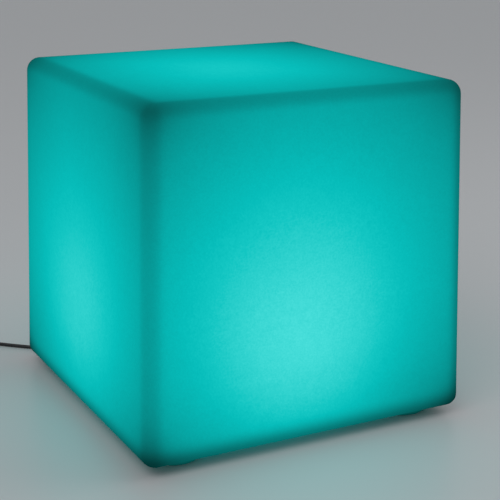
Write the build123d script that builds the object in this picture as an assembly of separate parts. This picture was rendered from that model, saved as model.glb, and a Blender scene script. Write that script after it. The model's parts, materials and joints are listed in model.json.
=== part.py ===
"""Floating light cube: a one-piece moulded block with a sealed light module in its base.

Its charging lead is plugged in, with the rest of the lead coiled beside the block. Millimetres, +Z up.
The origin is on the floor, under the middle of the block. The block's four sides face -X, +X, -Y and
+Y, and it stands on four moulded feet.
"""
from build123d import *
import math
import os

# ---- The block ----
mid_width = 400.0  # side to side, at half the block's height
block_height = 393.0  # without the feet
foot_height = 10.0
draft = 1.5  # degrees that each side leans out towards the base
wall = 4.0
edge_radius = 16.5  # uprights and top edges
base_edge_radius = 14.0
inner_edge_radius = 18.0  # larger than the outer one less the wall, so edges are thicker than sides
inner_base_radius = 12.0

base_z = foot_height
top_z = base_z + block_height

foot_inset = 53.5  # from the block's side at the base to the foot's middle
foot_radius = 31.0  # at the floor
foot_flare = 4.0  # by which the foot is wider at the block
foot_shoulder = 3.5
foot_root_radius = 4.0

# ---- The well in the base, which the module sits in ----
well_mouth = 84.0  # radius
well_draft = 4.0  # by which the radius shrinks to the ceiling
well_ceiling = 54.0
land = 5.0  # thickness of the ceiling
opening_radius = 60.0
bolt_circle = 70.0
bolts = 6
boss_radius = 7.5
boss_height = 9.0

# ---- The module ----
gasket = 3.0
gasket_radius = 75.4
flange = 4.0
flange_radius = 79.0
flange_top = well_ceiling - gasket
flange_low = flange_top - flange
lip_depth = 3.0
floor_thickness = 3.0
floor_top = flange_low + floor_thickness
cup_outer = 58.0
cup_inner = 53.0
cup_step = 55.5  # outer radius of the rim that the dome's skirt fits over
step_z = 82.0
cup_top = 91.0
dome_top = 127.0
dome_crown = 90.0  # radius of the dome's crown
dome_wall = 2.4
plate_z = 86.0
plate_thickness = 1.6
plate_radius = 52.4
plate_post_circle = 48.0

# ---- Controls on the module's underside: places in plan ----
button_at = Vector(-24.0, -14.0, 0)
socket_at = Vector(22.0, -18.0, 0)
cap_anchor_at = Vector(34.0, -1.0, 0)
lens_at = Vector(-2.0, -28.0, 0)
button_travel = 1.2
cap_arm = 21.0
cap_rest_angle = -15.0  # degrees from +X to the cap, seen from above

# ---- Boards and battery ----
board_low = 58.0
board_thickness = 1.6
board_x = (-38.0, 8.0)
board_y = (-34.0, 34.0)
cell_radius = 9.1
cell_length = 65.0
cell_x = (8.0, 27.5)
cell_z = 71.7
cradle_low = 62.0
cradle_ear_at = (18.0, 40.0)

# ---- Charging plug and lead ----
lead_radius = 2.25
plug_angle = 100.0  # degrees from +X, the way the lead leaves the plug
plug_arm_z = 36.5
plug_arm = 13.0
relief_length = 18.0

os.makedirs("parts", exist_ok=True)


def keep(name, shape):
    """Writes one node."""
    export_step(shape, f"parts/{name}.step")


def group(name, shapes):
    """Writes several separate solids as one node."""
    keep(name, Compound(children=[s for shape in shapes for s in shape.solids()]))


def at(place, z=0.0):
    return Pos(place.X, place.Y, z)


def tube(radius, low, high):
    return Pos(0, 0, low) * Cylinder(radius, high - low, align=(Align.CENTER, Align.CENTER, Align.MIN))


def ring(outer, inner, low, high):
    return tube(outer, low, high) - tube(inner, low - 1, high + 1)


def box(x, y, z):
    """A box from three (low, high) pairs."""
    size = [b - a for a, b in (x, y, z)]
    middle = [(a + b) / 2 for a, b in (x, y, z)]
    return Pos(*middle) * Box(*size)


def turned(*profile):
    """A solid of revolution about Z, from (radius, z) points."""
    return revolve(Plane.XZ * make_face(Polyline(*profile, close=True)), Axis.Z)


def around(count, radius, start=0.0):
    """Places evenly spaced on a circle."""
    turns = [math.radians(start + 360 * n / count) for n in range(count)]
    return [Vector(radius * math.cos(t), radius * math.sin(t), 0) for t in turns]


# ---- Moulded block ----
def half_width(z):
    """Half the block's width at a height, before any rounding."""
    return mid_width / 2 + ((base_z + top_z) / 2 - z) * math.tan(math.radians(draft))


def drafted_block(low, high, inset, side_radius, base_radius):
    """A square block with leaning sides, rounded on every edge."""
    side = 2 * (half_width(low) - inset)
    block = extrude(Pos(0, 0, low) * Rectangle(side, side), high - low, taper=draft)
    uprights = block.edges().filter_by(lambda e: abs(e.tangent_at(0.5).Z) > 0.5)
    block = fillet(uprights + block.edges().group_by(Axis.Z)[-1], side_radius)
    return fillet(block.edges().group_by(Axis.Z)[0], base_radius)


foot_place = half_width(base_z) - foot_inset
foot_places = [Vector(x * foot_place, y * foot_place, 0) for x in (-1, 1) for y in (-1, 1)]


def foot(inset):
    """One foot's outer form, or its hollow where inset is the wall."""
    low = inset
    high = base_z + 2 * inset + 1
    pad = Pos(0, 0, (low + high) / 2) * Cone(
        foot_radius - inset, foot_radius + foot_flare - inset, high - low
    )
    return fillet(pad.edges().group_by(Axis.Z)[0], foot_shoulder - inset / 2)


def well(clearance, top):
    """The well's own space, or its jacket where clearance is the wall."""
    low = base_z - 2
    shape = Pos(0, 0, (low + top) / 2) * Cone(
        well_mouth + clearance, well_mouth - well_draft + clearance, top - low
    )
    return fillet(shape.edges().group_by(Axis.Z)[-1], 4.0 + clearance)


insert_profile = ((4.0, 0.0), (4.0, 3.0), (3.2, 3.0), (3.2, 4.6), (4.0, 4.6), (4.0, 9.0))
insert_depth = 9.0
bolt_places = around(bolts, bolt_circle, 30)


def insert(bore):
    """A grooved insert from z 0 up, with its threaded bore, or whole where bore is 0."""
    outline = [(bore, 0.0), *insert_profile, (bore, insert_depth)]
    return turned(*outline)


def shell():
    outer = drafted_block(base_z, top_z, 0, edge_radius, base_edge_radius)
    for place in foot_places:
        outer += at(place) * foot(0)
    roots = outer.edges().filter_by(GeomType.CIRCLE).filter_by_position(Axis.Z, base_z - 0.01, base_z + 0.01)
    outer = fillet(roots, foot_root_radius)
    outer -= well(0, well_ceiling)
    mouth = outer.edges().filter_by(GeomType.CIRCLE).filter_by_position(Axis.Z, base_z - 0.01, base_z + 0.01)
    mouth = [e for e in mouth if abs(e.radius - well_mouth) < 3 and abs(e.arc_center.X) < 1]
    outer = fillet(mouth, 5.0)

    cavity = drafted_block(base_z + wall, top_z - wall, wall, inner_edge_radius, inner_base_radius)
    for place in foot_places:
        cavity += at(place) * foot(wall)
    cavity -= well(wall, well_ceiling + land)
    for place in bolt_places:
        boss = tube(boss_radius, well_ceiling, well_ceiling + land + boss_height)
        boss = fillet(boss.edges().group_by(Axis.Z)[-1], 3.0)
        cavity -= at(place) * boss
    body = outer - cavity - tube(opening_radius, well_ceiling - 1, well_ceiling + land + 1)
    for place in bolt_places:
        body -= at(place, well_ceiling) * insert(0)
    return body


# ---- Module housing and its seals ----
post_places = around(4, plate_post_circle)
board_posts = [Vector(x, y, 0) for x in (board_x[0] + 3.5, board_x[1] - 3.5) for y in (-30.5, 30.5)]
cradle_posts = [Vector(cradle_ear_at[0], s * cradle_ear_at[1], 0) for s in (-1, 1)]
groove = (85.0, 86.8)
groove_radius = 54.2
bung_hole = 2.2
gusset_angles = (30, 60, 120, 150, 210, 240, 300, 330)


def housing():
    body = turned(
        (0, flange_low),
        (flange_radius - 3, flange_low),
        (flange_radius - 3, flange_low - lip_depth),
        (flange_radius, flange_low - lip_depth),
        (flange_radius, flange_top),
        (cup_outer, flange_top),
        (cup_outer, step_z),
        (cup_step, step_z),
        (cup_step, groove[0]),
        (groove_radius, groove[0]),
        (groove_radius, groove[1]),
        (cup_step, groove[1]),
        (cup_step, cup_top),
        (cup_inner, cup_top),
        (cup_inner, floor_top),
        (0, floor_top),
    )
    for place, turn in zip(post_places, range(0, 360, 90)):
        post = tube(3.5, floor_top - 1, plate_z)
        web = Rot(0, 0, turn) * box((plate_post_circle, cup_inner + 1), (-1.5, 1.5), (floor_top - 1, plate_z))
        body += at(place) * post + web
        body -= at(place) * tube(1.25, plate_z - 12, plate_z + 1)
    for place in board_posts:
        body += at(place) * tube(2.8, floor_top - 1, board_low)
        body -= at(place) * tube(1.1, board_low - 6, board_low + 1)
    for place in cradle_posts:
        body += at(place) * tube(3.0, floor_top - 1, cradle_low)
        body -= at(place) * tube(1.1, cradle_low - 7, cradle_low + 1)
    corner = (cup_inner + 1, floor_top - 0.5)
    gusset = make_face(Polyline((44, floor_top - 0.5), corner, (cup_inner + 1, 64), close=True))
    gusset = extrude(Plane.XZ * gusset, 0.75, both=True)
    for turn in gusset_angles:
        body += Rot(0, 0, turn) * gusset
    for place in bolt_places:
        body -= at(place) * tube(2.3, flange_low - 1, flange_top + 1)
    body -= at(button_at) * tube(9.7, flange_low - 1, floor_top + 1)
    body -= at(socket_at) * tube(5.6, flange_low - 1, floor_top + 1)
    body -= at(lens_at) * tube(1.5, flange_low - 1, floor_top + 1)
    body -= at(cap_anchor_at) * tube(bung_hole, flange_low - 1, floor_top + 1)
    return body


def flange_gasket():
    seal = ring(gasket_radius, opening_radius + 1.5, flange_top, well_ceiling)
    for place in bolt_places:
        seal -= at(place) * tube(2.6, flange_top - 1, well_ceiling + 1)
    return seal


def pan_screw(shank, length, head, head_height):
    """A screw pointing up, with the underside of its head at z 0 and a cross recess."""
    body = tube(head, -head_height, 0)
    body = fillet(body.edges().group_by(Axis.Z)[0], head_height * 0.45)
    slot = head * 0.55
    recess = Box(2 * slot, 0.3 * head, head_height) + Box(0.3 * head, 2 * slot, head_height)
    return body + tube(shank, -0.5, length) - Pos(0, 0, -head_height) * recess


def flange_screws():
    one = pan_screw(1.95, 16, 4.0, 2.6)
    return [at(place, flange_low - 1) * one for place in bolt_places]


def cap_form(radius, low, top, crown, shoulder):
    """A cylinder closed by a shallow spherical crown with a rounded shoulder."""
    form = tube(radius, low, top + 1) & Pos(0, 0, top - crown) * Sphere(crown)
    rims = form.edges().filter_by(GeomType.CIRCLE).filter_by(lambda e: abs(e.radius - radius) < 0.1)
    return fillet(rims.sort_by(Axis.Z)[-1], shoulder)


def diffuser_dome():
    outer = cap_form(cup_outer, step_z, dome_top, dome_crown, 12.0)
    hollow = cap_form(cup_step + 0.1, step_z - 1, dome_top - dome_wall, dome_crown - dome_wall, 9.6)
    return outer - hollow


def dome_gasket():
    return Pos(0, 0, sum(groove) / 2) * Torus(groove_radius + 0.7, 0.7)


# ---- Light engine ----
plate_top = plate_z + plate_thickness


def led_plate():
    plate = tube(plate_radius, plate_z, plate_top)
    for place in post_places:
        plate -= at(place) * tube(1.4, plate_z - 1, plate_top + 1)
    return plate - Pos(-24, 0, 0) * tube(3.0, plate_z - 1, plate_top + 1)


def leds():
    package = Pos(0, 0, plate_top + 0.8) * Box(5, 5, 1.6)
    package -= tube(1.9, plate_top + 1.2, plate_top + 2)
    found = []
    for count, radius in ((12, 38.0), (6, 15.0)):
        for place in around(count, radius, 15):
            turn = math.degrees(math.atan2(place.Y, place.X))
            found.append(at(place) * Rot(0, 0, turn) * package)
    return found


def ir_receiver():
    body = Pos(0, 0, plate_top + 4.5) * Box(6, 4, 7)
    body += Pos(0, 0, plate_top + 8) * Sphere(1.9)
    for x in (-1.9, 0, 1.9):
        body += Pos(x, 0, plate_top + 0.6) * Box(0.6, 0.5, 1.2)
    return body


# ---- Boards and battery ----
board_top = board_low + board_thickness


def control_board():
    board = box(board_x, board_y, (board_low, board_top))
    board = fillet(board.edges().filter_by(Axis.Z), 2.0)
    for place in board_posts:
        board -= at(place) * tube(1.3, board_low - 1, board_top + 1)
    return board


def board_components():
    """Driver chip, coil, capacitor, transistors and the two wire connectors."""
    driver = Pos(-14, 10, board_top + 0.6) * Box(7, 7, 1.2)
    coil = Pos(-27, 16, board_top + 2) * Box(8, 8, 4)
    coil = fillet(coil.edges().filter_by(Axis.Z), 1.5)
    capacitor = Pos(-28, 3, 0) * tube(3.2, board_top, board_top + 8)
    transistors = [Pos(-16 + 5 * n, -4, board_top + 0.6) * Box(3, 2.6, 1.2) for n in range(4)]
    connectors = []
    for y in (-22.0, 24.0):
        shroud = Pos(-14, y, board_top + 3) * Box(9, 6, 6)
        connectors.append(shroud - Pos(-14, y, board_top + 4.5) * Box(7, 4, 5))
    return [driver, coil, capacitor, *transistors, *connectors]


def battery_cells():
    cells = []
    for x in cell_x:
        can = Pos(x, 0, cell_z) * Rot(90, 0, 0) * Cylinder(cell_radius, cell_length)
        can = fillet(can.edges(), 0.8)
        cells.append(can)
    return cells


def battery_cradle():
    width = (-3.0, 38.0)
    tray = box(width, (-35, 35), (cradle_low, cradle_low + 9))
    for x in cell_x:
        tray -= Pos(x, 0, cell_z) * Rot(90, 0, 0) * Cylinder(cell_radius + 0.1, cell_length + 1.4)
    tray -= box((1, 35), (-24, -6), (cradle_low - 1, cradle_low + 10))
    tray -= box((1, 35), (6, 24), (cradle_low - 1, cradle_low + 10))
    for side in (-1, 1):
        tray -= box((3, 33), sorted((side * 32.4, side * 33.2)), (68.5, 80))
    for place in cradle_posts:
        side = math.copysign(1, place.Y)
        ear = box((13, 23), sorted((side * 34, side * 44.5)), (cradle_low, cradle_low + 2.5))
        tray += ear
        tray -= at(place) * tube(1.4, cradle_low - 1, cradle_low + 10)
    return tray


def battery_tabs():
    strip = box((cell_x[0] - 4, cell_x[1] + 4), (cell_length / 2, cell_length / 2 + 0.3), (69, 74))
    return [strip, mirror(strip, Plane.XZ)]


# ---- Power button ----
button_face = flange_low - 3.4


def button_bezel():
    return at(button_at) * turned(
        (6.6, flange_low - 2.5),
        (11.2, flange_low - 2.5),
        (12.0, flange_low - 1.7),
        (12.0, flange_low),
        (9.6, flange_low),
        (9.6, flange_low + 6),
        (8.4, flange_low + 6),
        (8.4, flange_low + 0.5),
        (6.6, flange_low + 0.5),
    )


def button_nut():
    nut = ring(13.0, 9.65, floor_top, floor_top + 2.4)
    for place in around(8, 13.4):
        nut -= at(place) * tube(1.3, floor_top - 1, floor_top + 4)
    return at(button_at) * nut


def button_cap():
    cap = turned(
        (0, button_face),
        (6.4, button_face),
        (6.4, flange_low + 0.7),
        (8.2, flange_low + 0.7),
        (8.2, flange_low + 2.2),
        (1.9, flange_low + 2.2),
        (1.9, flange_low + 6.6),
        (0, flange_low + 6.6),
    )
    cap = fillet(cap.edges().group_by(Axis.Z)[0], 1.0)
    # The power symbol, a broken ring with an upright bar, is sunk in the face.
    symbol = ring(3.2, 2.4, button_face - 1, button_face + 0.35)
    symbol -= Pos(0, 3, button_face) * Box(2.4, 4, 4)
    symbol += box((-0.4, 0.4), (0.6, 3.6), (button_face - 1, button_face + 0.35))
    return at(button_at) * (cap - symbol)


def button_seal():
    return at(button_at) * ring(8.4, 1.97, flange_low + 4.8, flange_low + 5.8)


switch_low = flange_low + 7.5


def tact_switch():
    body = Pos(0, 0, (switch_low + board_low) / 2) * Box(6.2, 6.2, board_low - switch_low)
    return at(button_at) * (body - tube(1.9, switch_low - 1, board_low - 0.2))


def switch_plunger():
    return at(button_at) * tube(1.75, flange_low + 6.6, board_low - 1.5)


# ---- Charge indicator ----
def indicator_lens():
    return at(lens_at) * (tube(1.5, flange_low - 0.6, board_low - 1.3) + tube(2.6, floor_top, floor_top + 1))


def indicator_led():
    return at(lens_at) * (Pos(0, 0, board_low - 0.5) * Box(3, 1.6, 1.0))


# ---- Charging socket ----
socket_face = flange_low - 1.5


def charge_socket():
    return at(socket_at) * turned(
        (2.85, socket_face),
        (7.1, socket_face),
        (7.5, socket_face + 0.4),
        (7.5, flange_low),
        (6.9, flange_low),
        (6.9, flange_low - 0.8),
        (5.9, flange_low - 0.8),
        (5.9, flange_low),
        (5.5, flange_low),
        (5.5, 61.0),
        (1.0, 61.0),
        (1.0, 57.5),
        (2.85, 57.5),
    )


def socket_seal():
    return at(socket_at, flange_low - 0.4) * Torus(6.4, 0.4)


def socket_nut():
    nut = extrude(RegularPolygon(8.08, 6), 3.0)
    nut = Pos(0, 0, floor_top) * nut - tube(5.55, floor_top - 1, floor_top + 4)
    return at(socket_at) * nut


def socket_pin():
    pin = tube(1.0, socket_face + 2, 62.5)
    return at(socket_at) * fillet(pin.edges().group_by(Axis.Z)[0], 0.5)


def socket_cap():
    """Tethered cap, swung aside on the stud that holds its strap."""
    low = flange_low - 3.6
    gap = 0.1
    disc = 1.6
    rim = flange_low - 0.4
    cap = tube(9.5, low, low + disc) + ring(9.5, 7.7, low, rim) + tube(2.7, low, rim)
    cap = fillet(cap.edges().group_by(Axis.Z)[0], 0.6)
    grip = Pos(0, 9.6, low + 1.4) * Box(5, 3.2, 2.8)
    cap += fillet(grip.edges().filter_by(Axis.Z), 1.2)
    strap = box((0, cap_arm - 8.5), (-2.6, 2.6), (low, low + disc))
    collar = tube(4.2, low, flange_low - gap)
    stud = tube(bung_hole - 0.05, low, floor_top + gap + 1.8)
    head = turned(
        (0, floor_top + gap),
        (3.1, floor_top + gap),
        (2.2, floor_top + gap + 1.8),
        (0, floor_top + gap + 1.8),
    )
    whole = Pos(cap_arm, 0, 0) * cap + strap + collar + stud + head
    return at(cap_anchor_at) * Rot(0, 0, cap_rest_angle) * whole


# ---- Charging plug ----
plug_way = Vector(math.cos(math.radians(plug_angle)), math.sin(math.radians(plug_angle)), 0)
plug_heart = Vector(socket_at.X, socket_at.Y, plug_arm_z)
lead_start = plug_heart + plug_way * (plug_arm + relief_length)


def strain_relief(length, root, tip, grooves):
    """A tapered, grooved sleeve from z 0 up, which the lead leaves at its tip."""
    sleeve = Pos(0, 0, length / 2) * Cone(root, tip, length)
    pitch = length / (grooves + 1)
    for n in range(grooves):
        z = pitch * (n + 0.8)
        radius = root + (tip - root) * z / length
        sleeve -= ring(root + 1, radius - 0.8, z, z + pitch * 0.4)
    return sleeve


def plug_body():
    upright = tube(5.5, plug_arm_z - 5.5, socket_face)
    upright = fillet(upright.edges().group_by(Axis.Z)[0], 3.0)
    body = at(socket_at) * upright
    arm = Plane(plug_heart, z_dir=plug_way) * Pos(0, 0, plug_arm / 2) * Cylinder(4.6, plug_arm)
    return body + arm


def plug_relief():
    sleeve = strain_relief(relief_length, 3.9, 2.9, 5)
    return Plane(plug_heart + plug_way * plug_arm, z_dir=plug_way) * sleeve


def plug_barrel():
    return at(socket_at) * ring(2.75, 2.3, socket_face, socket_face + 9.5)


def plug_insulator():
    return at(socket_at) * ring(2.3, 1.06, socket_face, socket_face + 9.8)


# ---- Lead: out under the block, across the floor and into its coil ----
floor_line = lead_radius
coil_at = Vector(-271.0, 268.0, 0)
coil_outer = 36.0
coil_inner = 16.5
coil_height = 9.6
coil_entry_radius = 32.0
coil_entry_angle = math.radians(45)
coil_entry = coil_at + Vector(
    coil_entry_radius * math.cos(coil_entry_angle), coil_entry_radius * math.sin(coil_entry_angle), floor_line
)
lead_points = [
    lead_start,
    lead_start + plug_way * 14,
    Vector(10.5, 46.0, 28.0),
    Vector(6.0, 64.0, 16.0),
    Vector(-1.0, 84.0, 6.0),
    Vector(-15.0, 107.0, floor_line),
    Vector(-44.0, 129.0, floor_line),
    Vector(-79.0, 150.0, floor_line),
    Vector(-121.0, 178.0, floor_line),
    Vector(-163.5, 214.5, floor_line),
    Vector(-207.5, 249.8, floor_line),
    coil_entry,
]
tail_points = [
    Vector(-304.0, 268.0, 6.75),
    Vector(-304.0, 259.0, 7.0),
    Vector(-304.0, 249.5, 10.0),
    Vector(-304.0, 240.0, 10.0),
]


def path_of(points):
    """Straight runs joined by tangent arcs, each as large as its two runs allow."""
    radii = []
    for before, corner, after in zip(points, points[1:], points[2:]):
        one, two = corner - before, after - corner
        turn = math.radians(one.get_angle(two))
        radii.append(0.45 * min(one.length, two.length) / math.tan(turn / 2))
    print("bend radii", [round(r, 1) for r in radii])
    return FilletPolyline(*points, radius=radii)


def swept_tube(points, radius):
    path = path_of(points)
    section = Plane(points[0], z_dir=points[1] - points[0]) * Circle(radius)
    tube_solid = sweep(section, path=path)
    print("length", round(path.length, 1))
    return tube_solid


def coil_form():
    form = ring(coil_outer, coil_inner, 0, coil_height)
    form = fillet(form.edges(), 2.0)
    return at(coil_at) * form


tie_angle = -60.0
tie_width = 9.0
tie_thickness = 0.9
tie_top = coil_height + 0.4  # the turns stand a little proud under the strap


def lead_tie():
    """A hook-and-loop strap round the coil's turns, with its end lapped on top."""
    low, high = coil_inner - tie_thickness, coil_outer + tie_thickness
    outer = box((low, high), (-tie_width / 2, tie_width / 2), (0, tie_top + tie_thickness))
    outer = fillet(outer.edges().filter_by(Axis.Y), 2.4)
    inner = box((coil_inner, coil_outer), (-tie_width, tie_width), (tie_thickness, tie_top))
    inner = fillet(inner.edges().filter_by(Axis.Y), 1.5)
    lap = box((22, 34), (-tie_width / 2, tie_width / 2), (tie_top + 0.5, tie_top + 2 * tie_thickness))
    return at(coil_at) * Rot(0, 0, tie_angle) * (outer - inner + lap)


# ---- Mains adapter, lying with its prongs up ----
adapter_x = (-324.0, -284.0)
adapter_y = (172.0, 224.0)
adapter_top = 28.0
adapter_at = Vector(sum(adapter_x) / 2, sum(adapter_y) / 2, 0)
cover_thickness = 5.0


def adapter_body():
    size = (adapter_x[1] - adapter_x[0], adapter_y[1] - adapter_y[0])
    high = adapter_top - cover_thickness
    body = extrude(Pos(adapter_at.X, adapter_at.Y, high) * Rectangle(*size), -high, taper=3)
    body = fillet(body.edges().filter_by(lambda e: abs(e.tangent_at(0.5).Z) > 0.5), 7.0)
    body = fillet(body.edges().group_by(Axis.Z)[0], 3.0)
    return body


def adapter_cover():
    size = (adapter_x[1] - adapter_x[0], adapter_y[1] - adapter_y[0])
    low = adapter_top - cover_thickness
    cover = extrude(Pos(adapter_at.X, adapter_at.Y, low) * RectangleRounded(*size, 7.0), cover_thickness)
    cover = fillet(cover.edges().group_by(Axis.Z)[-1], 1.5)
    for x in (-6.35, 6.35):
        cover -= Pos(adapter_at.X + x, adapter_at.Y, adapter_top) * Box(1.5, 6.4, 4)
    return cover


def adapter_prongs():
    prongs = []
    for x in (-6.35, 6.35):
        blade = Pos(0, 0, adapter_top - 2 + 9) * Box(1.5, 6.4, 18)
        blade = fillet(blade.edges().filter_by(Axis.X).group_by(Axis.Z)[-1], 1.5)
        blade -= Pos(0, 0, adapter_top + 12) * Rot(0, 90, 0) * Cylinder(1.5, 4)
        prongs.append(Pos(adapter_at.X + x, adapter_at.Y, 0) * blade)
    return prongs


def adapter_relief():
    sleeve = strain_relief(17, 4.2, 2.9, 5)
    end = tail_points[-1]
    return Plane(Vector(end.X, end.Y - 16, end.Z), z_dir=(0, 1, 0)) * Pos(0, 0, -1) * sleeve


# ---- Wires inside the module ----
def wire(*points):
    return swept_tube([Vector(*point) for point in points], 0.6)


def led_wires():
    return [
        wire((x + 10, 24, 61.6), (x + 10, 24, 72), (x, 11, 79), (x, 0, 83), (x, 1, 89), (x, 9, 88.2))
        for x in (-25, -23)
    ]


def battery_wires():
    low_side = wire((10, -33.4, 73), (-3, -33.4, 73), (-10, -29, 71), (-13, -22, 69), (-13, -22, 61.6))
    high_side = wire(
        (10, 33.4, 73), (-3, 33.4, 73), (-8, 27, 73), (-9, -8, 74), (-15, -22, 70), (-15, -22, 61.6)
    )
    return [low_side, high_side]


def socket_wires():
    return [wire((19, y, 61.6), (14.5, y, 61.6), (8, y + 1, 60.4), (4, y + 2, 60.2)) for y in (-19, -16.5)]


if __name__ == "__main__":
    keep("shell", shell())
    group("shell_inserts", [at(place, well_ceiling) * insert(2.0) for place in bolt_places])
    keep("flange_gasket", flange_gasket())
    keep("module_housing", housing())
    group("flange_screws", flange_screws())
    washer = ring(4.5, 2.2, flange_low - 1, flange_low)
    group("flange_washers", [at(place) * washer for place in bolt_places])
    keep("diffuser_dome", diffuser_dome())
    keep("dome_gasket", dome_gasket())
    keep("led_plate", led_plate())
    group("leds", leds())
    plate_screw = Rot(180, 0, 0) * pan_screw(1.2, 10, 2.75, 1.8)
    group("led_plate_screws", [at(place, plate_top) * plate_screw for place in post_places])
    keep("ir_receiver", ir_receiver())
    keep("control_board", control_board())
    group("board_components", board_components())
    small_screw = Rot(180, 0, 0) * pan_screw(1.05, 6.5, 2.2, 1.5)
    group("board_screws", [at(place, board_top) * small_screw for place in board_posts])
    group("battery_cells", battery_cells())
    keep("battery_cradle", battery_cradle())
    group("battery_tabs", battery_tabs())
    group("cradle_screws", [at(place, cradle_low + 2.5) * small_screw for place in cradle_posts])
    keep("button_bezel", button_bezel())
    keep("button_nut", button_nut())
    keep("button_cap", button_cap())
    keep("button_seal", button_seal())
    keep("tact_switch", tact_switch())
    keep("switch_plunger", switch_plunger())
    keep("indicator_lens", indicator_lens())
    keep("indicator_led", indicator_led())
    keep("charge_socket", charge_socket())
    keep("socket_seal", socket_seal())
    keep("socket_nut", socket_nut())
    keep("socket_pin", socket_pin())
    keep("socket_cap", socket_cap())
    keep("plug_body", plug_body())
    keep("plug_relief", plug_relief())
    keep("plug_barrel", plug_barrel())
    keep("plug_insulator", plug_insulator())
    group("led_wires", led_wires())
    group("battery_wires", battery_wires())
    group("socket_wires", socket_wires())
    tie = lead_tie()
    coil = coil_form() - tie
    relief = adapter_relief()
    keep("lead_tie", tie)
    keep("charge_lead_coil", coil)
    keep("charge_lead", swept_tube(lead_points, lead_radius) - coil)
    keep("charge_lead_tail", swept_tube(tail_points, lead_radius) - coil)
    body = adapter_body()
    keep("adapter_body", body)
    keep("adapter_relief", relief - body)
    keep("adapter_cover", adapter_cover())
    group("adapter_prongs", adapter_prongs())
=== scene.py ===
"""Floating light cube: materials, charging lead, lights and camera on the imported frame.

Metres, +Z up. The origin is on the floor under the middle of the block, whose sides face -X, +X, -Y and +Y.
"""
import json
import math

import bpy
from mathutils import Matrix, Vector


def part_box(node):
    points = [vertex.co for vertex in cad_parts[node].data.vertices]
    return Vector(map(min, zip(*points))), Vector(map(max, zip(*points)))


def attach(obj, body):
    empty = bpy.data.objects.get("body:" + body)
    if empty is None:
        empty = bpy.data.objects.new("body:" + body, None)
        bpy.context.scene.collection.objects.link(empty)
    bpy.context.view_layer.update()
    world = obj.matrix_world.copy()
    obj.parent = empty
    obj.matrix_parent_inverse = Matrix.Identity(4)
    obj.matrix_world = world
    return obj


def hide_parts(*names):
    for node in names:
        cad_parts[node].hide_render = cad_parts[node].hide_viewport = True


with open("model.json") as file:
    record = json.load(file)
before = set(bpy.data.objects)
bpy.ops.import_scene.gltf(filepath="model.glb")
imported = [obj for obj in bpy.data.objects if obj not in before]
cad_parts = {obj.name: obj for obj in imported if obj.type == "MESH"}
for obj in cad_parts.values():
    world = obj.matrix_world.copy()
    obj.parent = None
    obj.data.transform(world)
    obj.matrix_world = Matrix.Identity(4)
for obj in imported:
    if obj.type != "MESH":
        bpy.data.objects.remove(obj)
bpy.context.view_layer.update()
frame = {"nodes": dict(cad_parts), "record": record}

# ---- Sizes of the block ----
shell_low, shell_high = (Vector(corner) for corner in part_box("shell"))
foot_height = 0.010
block_low = shell_low.z + foot_height
block_high = shell_high.z
block_height = block_high - block_low
draft = math.tan(math.radians(1.5))
middle_half_width = 0.200  # at half the block's height
well_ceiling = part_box("flange_gasket")[1][2]

# ---- The block's glow, painted on as emission, as a share of full light ----
lamp = Vector((-0.013, 0.0, 0.018))
across_stretch = 1.08  # the light falls faster along X
upward_stretch = 0.80  # and more slowly upwards
lamp_strength = 1.548  # light at half the block's width from the lamp
lamp_falloff = -2.05  # power of the distance
left_gain = 0.19  # painted light gained per metre towards -X
side_loss = 0.136  # painted shade on the walls that face -X and +X
top_loss = 0.08  # painted shade on the top
under_loss = 0.45  # painted shade on the flat underside
foot_loss = 0.68  # painted shade on a foot, at the floor
well_most, well_most_falloff = 0.80, 1.3  # most painted light underneath: on the well's axis, and its loss per metre
depth_share, depth_gain = 0.75, 5.0  # share of that most on the floor, and its gain per metre of height
upper_loss, upper_reach = 0.12, 0.116  # painted shade close to the top's edges
lower_loss, lower_reach = 0.72, 0.250  # painted shade close to the base's edges
corner_start = 0.012  # by which a corner's rounding keeps the surface from the block's sharp corner
painted_glow_colours = (  # painted glow: light, and the emission colour that it shows
    (0.0, (0.0, 0.0, 0.0)),
    (0.05, (0.001, 0.052, 0.048)),
    (0.48, (0.001, 0.480, 0.467)),
    (0.54, (0.006, 0.540, 0.520)),
    (0.62, (0.030, 0.620, 0.595)),
    (0.80, (0.105, 0.800, 0.765)),
)


# ---- Shader building ----
class Field:
    """A number that varies over a surface. Arithmetic on it adds Math nodes."""

    def __init__(self, shader, socket):
        self.shader = shader
        self.socket = socket

    def _math(self, operation, *others, clamp=False):
        node = self.shader.add("ShaderNodeMath", operation=operation, use_clamp=clamp)
        for socket, value in zip(node.inputs, (self, *others)):
            self.shader.feed(socket, value)
        return Field(self.shader, node.outputs[0])

    def __add__(self, other):
        return self._math("ADD", other)

    def __sub__(self, other):
        return self._math("SUBTRACT", other)

    def __rsub__(self, other):
        return self._math("MULTIPLY_ADD", -1.0, other)

    def __mul__(self, other):
        return self._math("MULTIPLY", other)

    def __truediv__(self, other):
        return self._math("DIVIDE", other)

    def __pow__(self, other):
        return self._math("POWER", other)

    def __abs__(self):
        return self._math("ABSOLUTE")

    __radd__ = __add__
    __rmul__ = __mul__

    def smaller(self, other):
        return self._math("MINIMUM", other)

    def larger(self, other):
        return self._math("MAXIMUM", other)

    def clamped(self):
        return self._math("ADD", 0.0, clamp=True)

    def above(self, start, full):
        """0 below start, rising evenly to 1 at full."""
        return ((self - start) / (full - start)).clamped()

    def fading(self, length):
        """1 where the field is 0 or less, falling exponentially over the length."""
        return (self.larger(0.0) * (-1.0 / length))._math("EXPONENT")

    def within(self, reach, steepness):
        """1 where the field is 0 or less, falling round the reach, faster where steepness is higher."""
        return (((self.larger(0.0) / reach) ** steepness) * -1.0)._math("EXPONENT")

    def capped(self, most, sharpness=4.0):
        """The field where it is well under the most, bending over to the most where it is larger."""
        return self * (1.0 + (self / most) ** sharpness) ** (-1.0 / sharpness)

    def lines(self, pitch, width):
        """1 on soft-edged lines of a width, one each pitch, and 0 between them."""
        off_centre = abs((self / pitch)._math("FRACT") - 0.5) * pitch
        return 1.0 - off_centre.above(0.4 * width, 0.6 * width)


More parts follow.
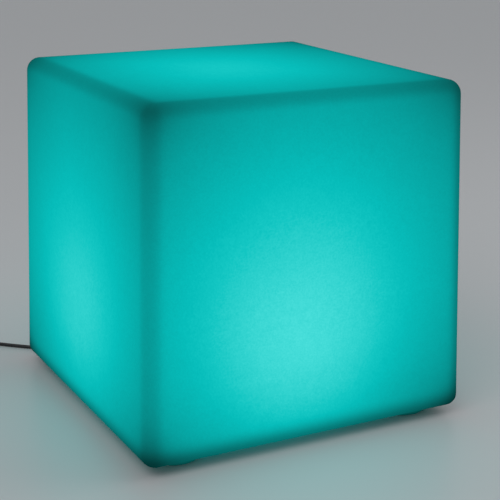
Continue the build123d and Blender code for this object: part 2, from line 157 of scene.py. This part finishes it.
socket_names = {
    "colour": "Base Color",
    "metallic": "Metallic",
    "roughness": "Roughness",
    "specular": "Specular IOR Level",
    "coat": "Coat Weight",
    "coat_roughness": "Coat Roughness",
    "sheen": "Sheen Weight",
    "emission": "Emission Color",
    "emission_strength": "Emission Strength",
}


class Shader:
    """A material's node tree, with short calls for adding and joining nodes."""

    def __init__(self, name):
        self.material = bpy.data.materials.new(name)
        self.material.use_nodes = True
        self.tree = self.material.node_tree
        self.surface = self.tree.nodes["Principled BSDF"]

    def add(self, kind, **settings):
        node = self.tree.nodes.new(kind)
        for name, value in settings.items():
            setattr(node, name, value)
        return node

    def feed(self, socket, value):
        """Sets a socket to a constant, or links it to a field or another socket."""
        if isinstance(value, Field):
            value = value.socket
        if isinstance(value, bpy.types.NodeSocket):
            self.tree.links.new(value, socket)
        else:
            socket.default_value = value

    def set(self, **values):
        """Sets the surface's sockets, by the short names in socket_names."""
        for name, value in values.items():
            self.feed(self.surface.inputs[socket_names[name]], value)

    def place(self):
        """The position in the row frame, as three fields."""
        coordinates = self.add("ShaderNodeTexCoord")
        split = self.add("ShaderNodeSeparateXYZ")
        self.feed(split.inputs[0], coordinates.outputs["Object"])
        return [Field(self, out) for out in split.outputs]

    def facing(self):
        """The surface's own direction, as three fields."""
        split = self.add("ShaderNodeSeparateXYZ")
        self.feed(split.inputs[0], self.add("ShaderNodeNewGeometry").outputs["Normal"])
        return [Field(self, out) for out in split.outputs]

    def noise(self, scale, detail=2.0, roughness=0.5, stretch=(1, 1, 1)):
        """Noise from 0 to 1 in the row frame, with scale in features a metre."""
        spread = self.add("ShaderNodeMapping")
        spread.inputs["Scale"].default_value = stretch
        self.feed(spread.inputs["Vector"], self.add("ShaderNodeTexCoord").outputs["Object"])
        node = self.add("ShaderNodeTexNoise")
        self.feed(node.inputs["Vector"], spread.outputs[0])
        self.feed(node.inputs["Scale"], scale)
        self.feed(node.inputs["Detail"], detail)
        self.feed(node.inputs["Roughness"], roughness)
        return Field(self, node.outputs["Fac"])

    def ramp(self, field, *stops):
        """A colour from a field, through (position, colour) stops."""
        node = self.add("ShaderNodeValToRGB")
        self.feed(node.inputs[0], field)
        elements = node.color_ramp.elements
        while len(elements) < len(stops):
            elements.new(1.0)
        for element, (position, colour) in zip(elements, stops):
            element.position = position
            element.color = (*colour, 1.0)
        return node.outputs["Color"]

    def varied(self, patches, colour, variation):
        """A colour that turns darker and lighter with the patches."""
        dark = tuple(channel * (1 - variation) for channel in colour)
        light = tuple(min(1.0, channel * (1 + variation)) for channel in colour)
        return self.ramp(patches, (0.3, dark), (0.7, light))

    def bump(self, height, distance, strength=1.0):
        """Raises the surface by a field, at most by distance."""
        node = self.add("ShaderNodeBump")
        self.feed(node.inputs["Height"], height)
        self.feed(node.inputs["Distance"], distance)
        self.feed(node.inputs["Strength"], strength)
        self.feed(self.surface.inputs["Normal"], node.outputs[0])


# ---- Materials ----
def painted_light_from_lamp(x, y, z):
    """Painted light on the block's wall from the lamp low in the block."""
    across = across_stretch * (x - lamp.x)
    along = y - lamp.y
    up = upward_stretch * (z - lamp.z)
    distance = (across * across + along * along + up * up) ** 0.5
    return lamp_strength * (distance / middle_half_width) ** lamp_falloff * (1.0 - left_gain * x)


def painted_edge_shade(x, side_x, side_y, from_top, from_base):
    """The painted shade: dark bands along edges and corners, each as (distance from it, loss, reach,
    steepness).
    """
    side = side_x.smaller(side_y)
    return (
        (side_x + side_y, 0.29 + 0.30 * x.above(-0.1, 0.1), 0.0153, 2.9),  # uprights, painted darker towards +X
        (0.77 * side + 1.23 * from_top, 0.347, 0.0145, 3.7),  # top edges
        (0.40 * side + 1.60 * from_base, 0.67, 0.0300, 2.9),  # base edges
        (side_x + side_y + from_top - corner_start, 0.885, 0.0328, 0.8),  # upper corners
        (side_x + side_y + from_base - corner_start, 0.95, 0.0294, 1.55),  # lower corners
    )


def block_with_painted_glow():
    """Milky moulded plastic lit from inside, its light painted on as emission. Its rounded edges and corners
    are thicker, and painted darker, as shade.
    """
    shader = Shader("milky_plastic")
    x, y, z = shader.place()
    nx, _, nz = shader.facing()
    light = painted_light_from_lamp(x, y, z) * (1.0 - side_loss * abs(nx) - top_loss * nz.larger(0.0))

    half_width = middle_half_width + (block_low + block_height / 2 - z) * draft
    side_x = half_width - abs(x)
    side_y = half_width - abs(y)
    side = side_x.smaller(side_y)
    from_top = block_high - z
    from_base = (z - block_low).larger(0.0)
    # Painted shade near the top's and the base's edges, then along every edge and corner.
    light = light * (1.0 - upper_loss * (side + from_top).fading(upper_reach))
    light = light * (1.0 - lower_loss * (side + from_base).fading(lower_reach))
    for away, loss, reach, steepness in painted_edge_shade(x, side_x, side_y, from_top, from_base):
        light = light * (1.0 - loss * away.within(reach, steepness))

    # Painted shade: the underside and the well's wall are close to the lamp but behind it, so they don't
    # reach full light.
    off_axis = (x * x + y * y) ** 0.5
    underneath = side.above(0.012, 0.045) * (well_ceiling + 0.006 - z).above(0.0, 0.010)
    most = (well_most - well_most_falloff * off_axis) * (depth_share + depth_gain * z)
    light = light + underneath * (light.capped(most) - light)
    # Painted shade on the feet and on the flat underside.
    in_foot = ((block_low - z) / foot_height).clamped()
    light = light * (1.0 - foot_loss * in_foot) * (1.0 - under_loss * (nz * -1.0).above(0.93, 1.0))

    # Uneven patches in the painted glow, at random.
    cloud = shader.noise(14.0, detail=3.0) - 0.5
    ripple = shader.noise(110.0, detail=2.0) - 0.5
    mottle = shader.noise(420.0, detail=3.0, roughness=0.75) - 0.5
    light = light * (1.0 + 0.05 * cloud + 0.07 * ripple + 0.26 * mottle)
    shader.set(
        colour=(0.002, 0.060, 0.057, 1.0),
        roughness=0.42 + 0.08 * (shader.noise(60.0) - 0.5),
        specular=0.0,
        # The painted glow: light from inside, painted on as emission colour.
        emission=shader.ramp(light, *painted_glow_colours),
        emission_strength=1.0,
    )
    shader.bump(shader.noise(230.0, detail=2.0), 0.0002, 0.5)
    return shader.material


def moulded(name, colour, roughness=0.45, grain=900.0, depth=0.00004, variation=0.08, coat=0.0):
    """Injection-moulded plastic or rubber with a fine spark-eroded grain."""
    shader = Shader(name)
    patches = shader.noise(45.0, detail=4.0)
    shader.set(
        colour=shader.varied(patches, colour, variation),
        roughness=roughness + 0.14 * (patches - 0.5),
        coat=coat,
        coat_roughness=0.12,
    )
    shader.bump(shader.noise(grain, detail=2.0), depth)
    return shader.material


def metal(name, colour, roughness=0.25):
    """Turned or drawn metal with fine lines round it, and a faint tarnish in patches."""
    shader = Shader(name)
    lines = shader.noise(500.0, detail=3.0, stretch=(1, 1, 30))
    tarnish = shader.noise(70.0, detail=4.0)
    shader.set(
        colour=shader.varied(tarnish, colour, 0.10),
        metallic=1.0,
        roughness=roughness + 0.15 * (lines - 0.5) + 0.10 * (tarnish - 0.5),
    )
    shader.bump(lines, 0.00001)
    return shader.material


def circuit_board(pitch=0.0025, track=0.0008):
    """Green solder mask over copper tracks, which show as paler raised lines that turn in patches."""
    shader = Shader("board")
    x, y, _ = shader.place()
    turned = shader.noise(80.0, detail=0.0).above(0.49, 0.51)
    tracks = x.lines(pitch, track) * turned + y.lines(pitch, track) * (1.0 - turned)
    weave = shader.noise(900.0, detail=1.0)
    mask, over_copper = (0.010, 0.110, 0.045), (0.060, 0.270, 0.110)
    shader.set(
        colour=shader.ramp(tracks + 0.15 * (weave - 0.5), (0.1, mask), (0.9, over_copper)),
        roughness=0.30 + 0.12 * (weave - 0.5),
        coat=0.5,
        coat_roughness=0.12,
    )
    shader.bump(tracks, 0.00004)
    return shader.material


def led_package():
    """White moulded LED bodies, with yellow phosphor where they face up."""
    shader = Shader("led_body")
    speckle = shader.noise(1500.0, detail=2.0)
    phosphor = shader.facing()[2].above(0.90, 0.95)
    white, rim, yellow = (0.86, 0.87, 0.84), (0.90, 0.84, 0.52), (0.88, 0.70, 0.14)
    shader.set(
        colour=shader.ramp(phosphor + 0.10 * (speckle - 0.5), (0.0, white), (0.5, rim), (1.0, yellow)),
        roughness=0.28 + 0.10 * (speckle - 0.5),
    )
    shader.bump(speckle, 0.00002)
    return shader.material


def woven_strap(pitch=0.0012, thread=0.0007, row_pitch=0.0010, row=0.0006):
    """Black woven tape: threads in a raised criss-cross, with a dull sheen, and painted shade in the hollows
    between them.
    """
    shader = Shader("strap")
    x, y, z = shader.place()
    warp = (x + y).lines(pitch, thread) * z.lines(row_pitch, row)
    weft = (x - y).lines(pitch, thread)
    threads = warp + weft * 0.5
    fluff = shader.noise(1800.0, detail=3.0)
    # Painted shade: darker in the hollows between the threads.
    hollow_shade, raised = (0.010, 0.010, 0.011), (0.040, 0.040, 0.044)
    shader.set(
        colour=shader.ramp(threads + 0.3 * (fluff - 0.5), (0.0, hollow_shade), (1.0, raised)),
        roughness=0.80 + 0.15 * (fluff - 0.5),
        sheen=0.4,
    )
    shader.bump(threads, 0.00015)
    return shader.material


materials = {
    "milky_plastic": block_with_painted_glow(),
    "brass": metal("brass", (0.72, 0.50, 0.22)),
    "seal_rubber": moulded("seal_rubber", (0.025, 0.025, 0.028), roughness=0.62),
    "module_plastic": moulded("module_plastic", (0.72, 0.75, 0.74), roughness=0.38, variation=0.04),
    "stainless": metal("stainless", (0.62, 0.62, 0.63)),
    "diffuser": moulded("diffuser", (0.80, 0.90, 0.88), roughness=0.55),
    "plate_mask": moulded("plate_mask", (0.85, 0.86, 0.84), roughness=0.40),
    "led_body": led_package(),
    "dark_plastic": moulded("dark_plastic", (0.018, 0.018, 0.020), roughness=0.35),
    "board": circuit_board(),
    "cell_wrap": moulded(
        "cell_wrap", (0.02, 0.10, 0.42), roughness=0.25, grain=240.0, depth=0.0001, coat=0.6
    ),
    "nickel": metal("nickel", (0.70, 0.68, 0.64), roughness=0.2),
    "button_plastic": moulded("button_plastic", (0.42, 0.45, 0.46), roughness=0.42),
    "lens": moulded("lens", (0.85, 0.9, 0.9), roughness=0.12),
    "cap_rubber": moulded("cap_rubber", (0.06, 0.065, 0.07), roughness=0.6),
    "lead_skin": moulded("lead_skin", (0.014, 0.014, 0.016), roughness=0.42, grain=1500.0),
    "adapter_plastic": moulded("adapter_plastic", (0.016, 0.016, 0.018), roughness=0.5),
    "strap": woven_strap(),
    "wire_skin": moulded("wire_skin", (0.42, 0.02, 0.015), roughness=0.4),
}


def dress(piece, slot_name):
    piece.data.materials.clear()
    piece.data.materials.append(materials[slot_name])


for part in frame["record"]["subparts"]:
    dress(frame["nodes"][part["node"]], part["material_slot"])


# ---- Charging lead ----
lead_diameter = 0.0045
floor_line = lead_diameter / 2  # height of the lead's middle where it lies on the floor
socket = Vector((0.022, -0.018, 0.0365))
plug_angle = math.radians(100)
plug_way = Vector((math.cos(plug_angle), math.sin(plug_angle), 0))
plug_reach = 0.031  # from the socket's axis to the end of the plug's strain relief
straight_out = 0.014
lead_start = socket + plug_way * plug_reach
# Out of the well between the feet, along the floor to the coil behind the block, then up into the adapter.
lead_route = [
    lead_start,
    lead_start + plug_way * straight_out,
    Vector((0.0105, 0.0460, 0.0280)),
    Vector((0.0060, 0.0640, 0.0160)),
    Vector((-0.0010, 0.0840, 0.0060)),
    Vector((-0.0150, 0.1070, floor_line)),
    Vector((-0.0440, 0.1290, floor_line)),
    Vector((-0.0790, 0.1500, floor_line)),
    Vector((-0.1210, 0.1780, floor_line)),
    Vector((-0.1635, 0.2145, floor_line)),
    Vector((-0.2075, 0.2498, floor_line)),
]
tail_route = [
    Vector((-0.3040, 0.2590, 0.0070)),
    Vector((-0.3040, 0.2495, 0.0100)),
    Vector((-0.3040, 0.2400, 0.0100)),
]

# The coil's angles are in degrees, anticlockwise seen from above, and its radii are to the lead's middle.
coil_at = Vector((-0.271, 0.268, 0))
coil_first_angle = 45
turned_inwards = 900
turned_in_all = 1935
turned_per_point = 15
climb = 60  # turned on each side of the change of layer
first_radius = 0.0320
inner_radius = 0.0200
last_radius = 0.0330
tie_angle = math.radians(-60)
tie_lift = 0.0009  # thickness of the tie under the turns
tie_narrowness = 12


def smooth_step(value, start, full):
    share = min(max((value - start) / (full - start), 0.0), 1.0)
    return share * share * (3 - 2 * share)


def coil_turns():
    """Points of two layers of turns, lifted where the tie passes under.

    The first layer goes in along the floor, and the second comes out on top of it.
    """
    points = []
    for turned in range(0, turned_in_all + 1, turned_per_point):
        angle = math.radians(coil_first_angle + turned)
        if turned <= turned_inwards:
            radius = first_radius + (inner_radius - first_radius) * turned / turned_inwards
        else:
            share = (turned - turned_inwards) / (turned_in_all - turned_inwards)
            radius = inner_radius + (last_radius - inner_radius) * share
        layer = smooth_step(turned, turned_inwards - climb, turned_inwards + climb)
        over_tie = max(0.0, math.cos(angle - tie_angle)) ** tie_narrowness
        height = floor_line + lead_diameter * layer + tie_lift * over_tie
        points.append(coil_at + Vector((radius * math.cos(angle), radius * math.sin(angle), height)))
    return points


def nurbs_tube(name, points, radius):
    """A round tube whose centreline is one open NURBS spline."""
    curve = bpy.data.curves.new(name, "CURVE")
    curve.dimensions = "3D"
    curve.bevel_depth = radius
    curve.bevel_resolution = 4
    curve.use_fill_caps = True
    spline = curve.splines.new("NURBS")
    spline.points.add(len(points) - 1)
    for point, place in zip(spline.points, points):
        point.co = (*place, 1.0)
    spline.order_u = 3
    spline.use_endpoint_u = True
    spline.resolution_u = 6
    piece = bpy.data.objects.new(name, curve)
    bpy.context.scene.collection.objects.link(piece)
    return piece


lead = nurbs_tube("charging_lead", lead_route + coil_turns() + tail_route, lead_diameter / 2)
dress(lead, "lead_skin")
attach(lead, "base")
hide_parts("charge_lead", "charge_lead_coil", "charge_lead_tail")


# ---- Camera, lights and stage ----
def photo_camera(azimuth=-27.55, elevation=16.57, roll=0.38, distance=1.583, lens=92.95):
    """A camera at the photograph's angle, given in degrees, metres and millimetres."""
    azimuth, elevation, roll = math.radians(azimuth), math.radians(elevation), math.radians(roll)
    target = Vector((0.0147, -0.0165, 0.1804))
    level = math.cos(elevation)
    back = Vector((math.sin(azimuth) * level, -math.cos(azimuth) * level, math.sin(elevation)))
    data = bpy.data.cameras.new("camera")
    data.sensor_width = 36.0
    data.lens = lens
    camera = bpy.data.objects.new("camera", data)
    turn = back.to_track_quat("Z", "Y").to_matrix().to_4x4() @ Matrix.Rotation(roll, 4, "Z")
    camera.matrix_world = Matrix.Translation(target + back * distance) @ turn
    bpy.context.scene.collection.objects.link(camera)
    bpy.context.scene.camera = camera


def soft_light(name, place, aim, size, power):
    data = bpy.data.lights.new(name, "AREA")
    data.size = size
    data.energy = power
    light = bpy.data.objects.new(name, data)
    light.location = place
    light.rotation_euler = (Vector(aim) - Vector(place)).to_track_quat("-Z", "Y").to_euler()
    bpy.context.scene.collection.objects.link(light)


def floor(reach=6.0):
    mesh = bpy.data.meshes.new("floor")
    corners = [(-reach, -reach, 0), (reach, -reach, 0), (reach, reach, 0), (-reach, reach, 0)]
    mesh.from_pydata(corners, [], [(0, 1, 2, 3)])
    piece = bpy.data.objects.new("floor", mesh)
    bpy.context.scene.collection.objects.link(piece)
    shader = Shader("floor")
    shader.set(colour=(0.62, 0.63, 0.64, 1.0), roughness=0.35)
    mesh.materials.append(shader.material)


def studio():
    world = bpy.data.worlds.new("studio")
    bpy.context.scene.world = world
    world.use_nodes = True
    background = world.node_tree.nodes["Background"]
    background.inputs["Color"].default_value = (0.80, 0.82, 0.84, 1.0)
    background.inputs["Strength"].default_value = 0.50
    block_middle = (0, 0, 0.2)
    soft_light("key", (-1.6, -1.2, 2.4), block_middle, size=2.0, power=18)
    soft_light("fill", (1.8, -0.6, 1.6), block_middle, size=1.6, power=8)
    bpy.context.scene.view_settings.view_transform = "Standard"


photo_camera()
floor()
studio()
